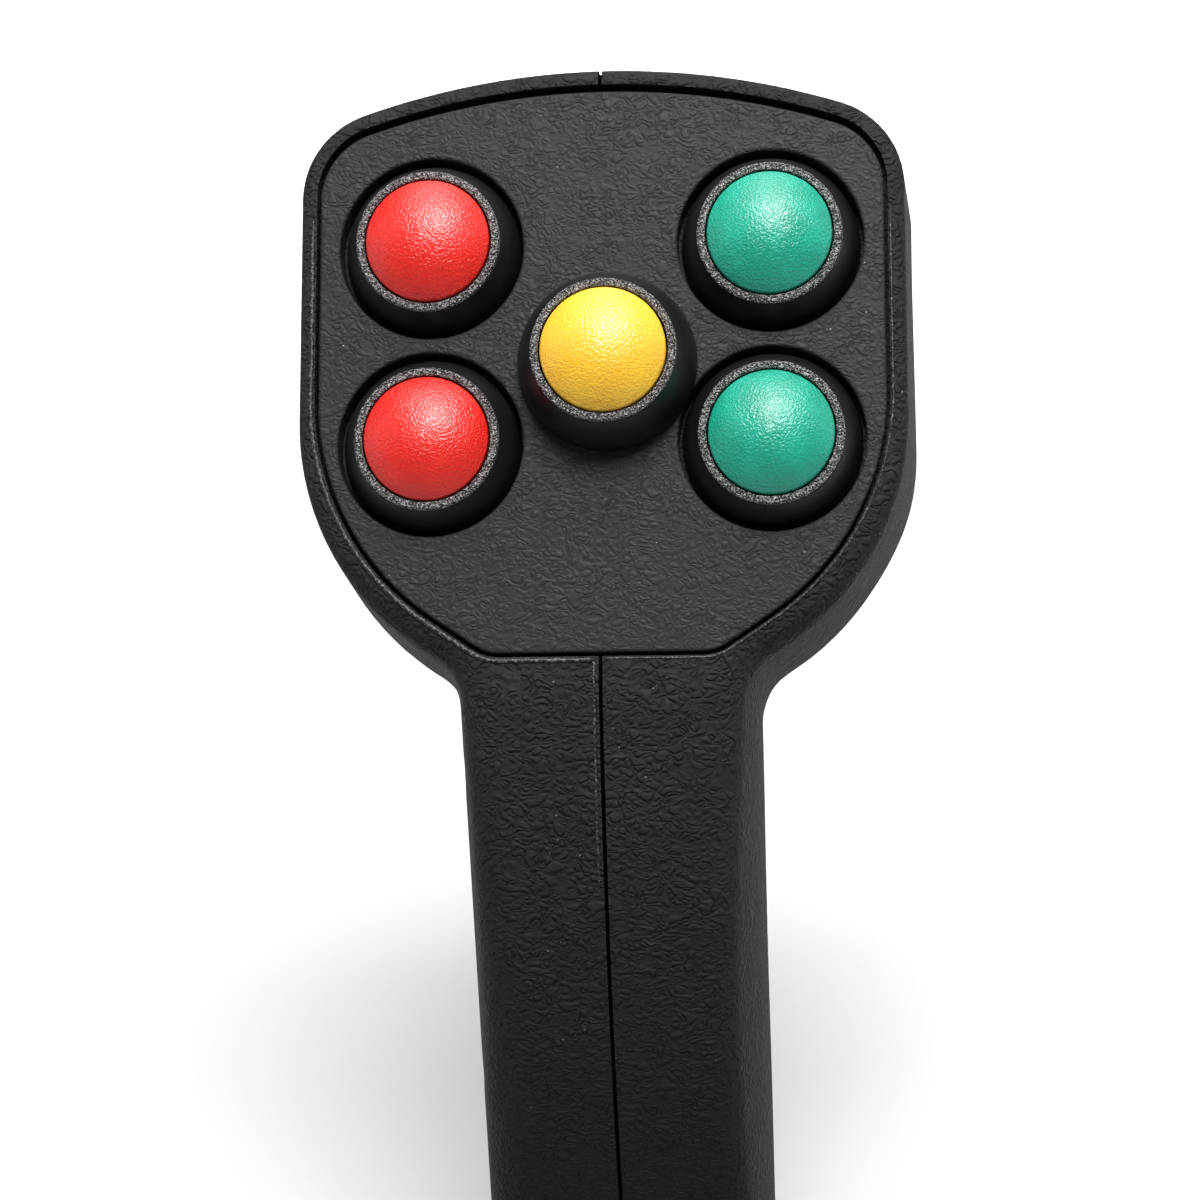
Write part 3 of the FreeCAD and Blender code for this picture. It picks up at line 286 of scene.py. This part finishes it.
def sparkled_rim():
    """Coarse eroded finish of the rim; bumped facets glint, bright flecks are painted glints."""
    g = Graph("sparkled_rim")
    coarse = g.noise(g.scaled(0.24), detail=1, rough=0.6)[0]
    painted_glint = g.ramp(coarse, 0.48, 0.60)
    pits = g.cells(g.scaled(0.24))
    normal = g.bump(g.maths("ADD", g.ramp(pits, 0.0, 0.8), coarse), 0.16)
    # Painted glints: bright flecks mixed into the dark colour.
    tone = g.blend(painted_glint, (0.008, 0.008, 0.0075, 1), (0.27, 0.265, 0.26, 1))
    return g.finish(Base_Color=tone, Roughness=0.33, Normal=normal, Specular_IOR_Level=1.0)


def cap(name, colour, deep):
    """Coloured dome with a fine pebbled, satin skin."""
    g = Graph(name)
    pebble = g.noise(g.scaled(0.30), detail=1.0, rough=0.5)[0]
    fine = g.noise(g.scaled(0.12), detail=1)[0]
    normal = g.bump(fine, 0.010, g.bump(g.ramp(pebble, 0.3, 0.7), 0.045))
    wave = g.noise(g.scaled(3.5), detail=2)[0]
    tone = g.blend(g.ramp(wave, 0.3, 0.72), deep, colour)
    shine = g.ramp(pebble, 0.3, 0.7, 0.33, 0.40)
    return g.finish(Base_Color=tone, Roughness=shine, Normal=normal, Specular_IOR_Level=0.95,
                    Subsurface_Weight=0.08, Subsurface_Scale=1.5 * MM,
                    Subsurface_Radius=(1.0, 0.5, 0.4))


def metal(name, colour, rough, grain=(0.1, 0.1, 3.0)):
    """Turned or drawn metal with fine lines and small colour variation."""
    g = Graph(name)
    lines = g.noise(g.scaled(*grain), detail=3, rough=0.6)[0]
    stain = g.noise(g.scaled(2.5), detail=3)[0]
    tone = g.blend(g.ramp(stain, 0.3, 0.7), [c * 0.75 for c in colour] + [1], list(colour) + [1])
    shine = g.ramp(lines, 0.3, 0.7, rough - 0.06, rough + 0.1)
    return g.finish(Base_Color=tone, Roughness=shine, Metallic=1.0, Normal=g.bump(lines, 0.01))


def circuit():
    """Green solder mask with copper traces showing through."""
    g = Graph("solder_mask")
    cell = g.cells(g.scaled(2.2), "DISTANCE_TO_EDGE")
    trace = g.ramp(cell, 0.05, 0.09, 1.0, 0.0)
    tone = g.blend(trace, (0.010, 0.085, 0.030, 1), (0.03, 0.19, 0.07, 1))
    return g.finish(Base_Color=tone, Roughness=0.35, Normal=g.bump(trace, 0.03))


def wires():
    """Insulated leads, one colour for each place across the loom."""
    g = Graph("lead_insulation")
    count = len(LEAD_COLOURS)
    across = g.axes(g.scaled(LEAD_PITCH))[0]
    step = g.maths("ADD", g.maths("FLOOR", across), count / 2)
    band = g.add("ShaderNodeValToRGB")
    g.join(g.maths("DIVIDE", step, float(count)), band.inputs[0])
    band.color_ramp.interpolation = "CONSTANT"
    elements = band.color_ramp.elements
    for index, colour in enumerate(LEAD_COLOURS):
        spot = max(index / count - 0.01, 0)
        element = elements[index] if index < 2 else elements.new(spot)
        element.position = spot
        element.color = (*colour, 1)
    fine = g.noise(g.scaled(0.3), detail=2)[0]
    return g.finish(Base_Color=band.outputs[0], Roughness=0.45, Normal=g.bump(fine, 0.01))


shell_skin = leather("leather_shell", 1.35, 0.30, 0.0260, 0.58, 0.30, 0.05, seam=True)
plate_skin = leather("leather_plate", 1.1, 0.10, 0.0255, 0.50, 0.60, 0.16)
bezel_black = moulded("bezel_black", (0.0085, 0.008, 0.0075), 0.38)
case_black = moulded("case_black", (0.03, 0.03, 0.03), 0.5)
chip_black = moulded("chip_black", (0.02, 0.02, 0.022), 0.4)
nylon = moulded("connector_nylon", (0.75, 0.72, 0.62), 0.45)
seal_black = moulded("seal_rubber", (0.015, 0.015, 0.015), 0.65)
steel = metal("zinc_steel", (0.60, 0.60, 0.58), 0.30)
bush_steel = metal("turned_steel", (0.52, 0.52, 0.51), 0.30, (3.0, 3.0, 0.08))
spring_wire = metal("spring_wire", (0.62, 0.62, 0.62), 0.25)
brass = metal("contact_brass", (0.80, 0.58, 0.27), 0.28)
rim_skin = sparkled_rim()
cap_skins = {
    "red": cap("cap_red", (0.82, 0.013, 0.005, 1), (0.74, 0.009, 0.003, 1)),
    "yellow": cap("cap_yellow", (0.97, 0.58, 0.028, 1), (0.95, 0.52, 0.022, 1)),
    "green": cap("cap_green", (0.0004, 0.40, 0.265, 1), (0.0002, 0.32, 0.205, 1)),
}


def dress(node, material):
    """Give every material slot of a CAD node the same finish."""
    holder = bpy.data.objects[node]
    if not holder.material_slots:
        holder.data.materials.append(material)
    for slot in holder.material_slots:
        slot.material = material


for shell in SHELLS:
    dress(shell, shell_skin)
dress("face_plate", plate_skin)
for button in BUTTONS:
    dress(f"{button}_bezel", bezel_black)
    dress(f"{button}_ring", rim_skin)
    dress(f"{button}_cap", cap_skins[button.split("_")[0]])
    dress(f"{button}_contact", brass)
    dress(f"{button}_switch", case_black)
dress("bezel_seals", seal_black)
dress("switch_terminals", brass)
dress("circuit_board", circuit())
dress("controller_chip", chip_black)
dress("board_resistors", chip_black)
dress("board_header", nylon)
dress("loom_plug", nylon)
dress("wire_loom", wires())
dress("mounting_bush", bush_steel)
for fastener in ("bezel_nuts", "board_screws", "housing_screws", "clamp_screw"):
    dress(fastener, steel)


# ---------------------------------------------------------------- return springs

def return_spring(button):
    """Coil copied from the CAD spring onto the grip, with a mesh of its own."""
    mesh = bpy.data.objects[f"{button}_spring"].data.copy()
    mesh.materials.clear()
    mesh.materials.append(spring_wire)
    spring = add_object(f"{button}_return_spring", mesh)
    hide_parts(f"{button}_spring")
    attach(spring, "grip")
    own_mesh(spring)


for button in BUTTONS:
    return_spring(button)


# ---------------------------------------------------------------- moulded lips

def plate_outline():
    """Outline of the face plate's flat front, in its own plane."""
    flat = []
    for vertex in bpy.data.objects["face_plate"].data.vertices:
        offset = vertex.co - PLATE_ORIGIN
        if abs(offset.dot(PLATE_OUT)) < PLATE_FLAT * MM:
            flat.append(Vector((offset.x, offset.dot(PLATE_UP))))
    return [flat[index] for index in convex_hull_2d(flat)]


def resampled(points, step):
    """Points at even steps along a closed polyline."""
    path = []
    for start, end in zip(points, points[1:] + points[:1]):
        count = max(1, round((end - start).length / step))
        path += [start.lerp(end, i / count) for i in range(count)]
    return path


def grown(points, amount):
    """A convex outline moved outwards."""
    moved = []
    middle = sum(points, Vector((0, 0))) / len(points)
    for index, point in enumerate(points):
        along = (points[(index + 1) % len(points)] - points[index - 1]).normalized()
        side = Vector((along.y, -along.x))
        if side.dot(point - middle) < 0:
            side = -side
        moved.append(point + side * amount)
    return moved


def bead(name, path, radius, material, up):
    """A fine raised bead along a path, half sunk in the surface; its first end fades out."""
    sides, corners, faces = 8, [], []
    for index, point in enumerate(path):
        before, after = path[max(index - 1, 0)], path[min(index + 1, len(path) - 1)]
        along = (after - before).normalized()
        across = along.cross(up).normalized()
        top = across.cross(along)
        thick = radius * min(1.0, (index + 1) / LIP_FADE)
        for side in range(sides):
            angle = 2 * math.pi * side / sides
            corners.append(point + (across * math.cos(angle) + top * math.sin(angle)) * thick)
    for ring in range(len(path) - 1):
        for side in range(sides):
            a, b = ring * sides + side, ring * sides + (side + 1) % sides
            faces.append((a, b, b + sides, a + sides))
    faces.append(tuple(range(sides))[::-1])
    faces.append(tuple(range(len(corners) - sides, len(corners))))
    mesh = bpy.data.meshes.new(name)
    mesh.from_pydata(corners, [], faces)
    mesh.materials.append(material)
    mesh.shade_smooth()
    mesh.update()
    piece = add_object(name, mesh)
    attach(piece, "grip")


def surface_of(node):
    """A CAD node's surface, for casting rays at it."""
    mesh = bpy.data.objects[node].data
    return BVHTree.FromPolygons([v.co for v in mesh.vertices], [p.vertices for p in mesh.polygons])


def plate_lip(side, radius, material):
    """Bead on one shell, beside the gap round the face plate. Returns its end by the seam."""
    shell = surface_of(f"{side}_housing")
    sign = -1 if side == "left" else 1
    away = PLATE_ROUND + PLATE_GAP + LIP_CLEAR + radius / MM
    outline = grown(resampled(plate_outline(), LIP_STEP * MM), away * MM)
    outline = [point for point in resampled(outline, LIP_STEP * MM)
               if point.x * sign > SEAM_CLEAR * MM and point.y < LIP_TOP * MM]
    outline.sort(key=lambda point: math.atan2(point.x * sign, point.y + PLATE_MIDDLE * MM))
    path = []
    for point in outline:
        above = PLATE_ORIGIN + Vector((point.x, 0, 0)) + PLATE_UP * point.y + PLATE_OUT * 5 * MM
        spot = shell.ray_cast(above, -PLATE_OUT, 12 * MM)[0]
        if spot is not None:
            path.append(spot)
    bead(f"{side}_plate_lip", path, radius, material, PLATE_OUT)
    return path[-1]


def seam_lip(top, radius, material):
    """Bead on the left shell, beside the parting line down the handle."""
    shell = surface_of("left_housing")
    path = []
    height = top.z - 0.2 * MM
    while height > top.z - SEAM_LIP_LENGTH * MM:
        spot = shell.ray_cast(Vector((top.x, -0.08, height)), Vector((0, 1, 0)), 0.16)[0]
        if spot is not None:
            path.append(spot)
        height -= SEAM_LIP_STEP * MM
    bead("seam_lip", path[::-1], radius, material, Vector((0, -1, 0)))


def lip_skin():
    """Black plastic whose glints are painted in as small bright flecks."""
    g = Graph("lip_painted_glint")
    coarse = g.noise(g.scaled(0.3), detail=2, rough=0.6)[0]
    tone = g.blend(g.ramp(coarse, 0.5, 0.66), grey(0.012), grey(0.16))
    return g.finish(Base_Color=tone, Roughness=0.4, Normal=g.bump(coarse, 0.12))


# The lips' finish, with painted glints.
painted_edge_glint = lip_skin()
chin_end = plate_lip("left", 0.28 * MM, painted_edge_glint)
plate_lip("right", 0.12 * MM, painted_edge_glint)
seam_lip(chin_end, 0.17 * MM, painted_edge_glint)


# ---------------------------------------------------------------- studio, in metres

CAMERA_AZIMUTH, CAMERA_RISE, CAMERA_ROLL = 5.264, 19.164, -2.57
CAMERA_PLACE = Vector((29.5, -334.7, 215.4)) * MM
CAMERA_LENS, SENSOR = 86.88, 36.0


def aim(azimuth, rise, roll=0.0):
    """Turn that looks back along a direction given by azimuth and elevation."""
    across, up = math.radians(azimuth), math.radians(rise)
    back = Vector((math.sin(across) * math.cos(up), -math.cos(across) * math.cos(up), math.sin(up)))
    turn = (-back).to_track_quat("-Z", "Y").to_matrix()
    return turn @ Matrix.Rotation(math.radians(roll), 3, "Z")


def make_camera():
    """Camera in front of the face plate, a little above and to the right."""
    lens = bpy.data.cameras.new("camera")
    lens.lens = CAMERA_LENS
    lens.sensor_width = SENSOR
    camera = add_object("camera", lens)
    camera.matrix_world = Matrix.Translation(CAMERA_PLACE) @ aim(
        CAMERA_AZIMUTH, CAMERA_RISE, CAMERA_ROLL).to_4x4()
    bpy.context.scene.camera = camera


def area_light(name, place, target, size, power, spread=180):
    """Soft rectangular lamp at a place, turned to a target."""
    data = bpy.data.lights.new(name, "AREA")
    data.shape = "RECTANGLE"
    data.size, data.size_y = size
    data.energy = power
    data.spread = math.radians(spread)
    lamp = add_object(name, data)
    way = Vector(target) - Vector(place)
    lamp.matrix_world = Matrix.Translation(place) @ way.to_track_quat("-Z", "Y").to_matrix().to_4x4()


def make_floor():
    """Pale floor that sweeps up behind, darker in front of the object."""
    mesh = bpy.data.meshes.new("sweep")
    half, near, far, rise, bend, steps = 2.5, -1.2, 1.3, 3.0, 0.6, 12
    profile = [(near, 0.0)]
    for step in range(steps + 1):
        angle = math.pi / 2 * step / steps
        profile.append((far + bend * math.sin(angle), bend * (1 - math.cos(angle))))
    profile.append((far + bend, rise))
    points = [(x, y, z) for y, z in profile for x in (-half, half)]
    faces = [(2 * i, 2 * i + 1, 2 * i + 3, 2 * i + 2) for i in range(len(profile) - 1)]
    mesh.from_pydata(points, [], faces)
    mesh.shade_smooth()
    sweep = add_object("sweep", mesh)
    sweep.location.z = cad_low.z
    g = Graph("studio_white")
    behind = g.ramp(g.axes(g.place)[1], -0.12, 0.05)
    tint = g.noise(g.scaled(400), detail=1)[0]
    tone = g.blend(behind, (0.24, 0.24, 0.24, 1), (0.74, 0.74, 0.74, 1))
    tone = g.blend(g.ramp(tint, 0.3, 0.7, 0.0, 0.06), tone, (0.9, 0.9, 0.9, 1))
    mesh.materials.append(g.finish(Base_Color=tone, Roughness=0.9))


def make_lights():
    """Soft key light above the face plate, weak fills, and a bright backdrop."""
    face = Vector((0, 0, cad_high.z - 0.04))
    area_light("key", face + Vector((0.06, -0.25, 0.49)), face, (0.26, 0.22), 4.2)
    area_light("top_fill", face + Vector((0.0, 0.05, 0.7)), face, (0.8, 0.5), 2.2)
    area_light("left_fill", face + Vector((-0.9, -0.1, 0.25)), face, (0.4, 0.9), 1.1)
    area_light("right_fill", face + Vector((0.9, 0.1, 0.25)), face, (0.4, 0.9), 1.2)
    area_light("backdrop", Vector((0, 1.15, 1.8)), Vector((0, 1.10, 0)), (2.2, 0.5), 25, spread=70)


def make_air():
    """A dim white surround."""
    world = bpy.data.worlds.new("studio_air")
    world.use_nodes = True
    air = world.node_tree.nodes["Background"]
    air.inputs["Color"].default_value = (1, 1, 1, 1)
    air.inputs["Strength"].default_value = 0.15
    bpy.context.scene.world = world


make_camera()
make_floor()
make_lights()
make_air()
bpy.context.scene.view_settings.view_transform = "Standard"
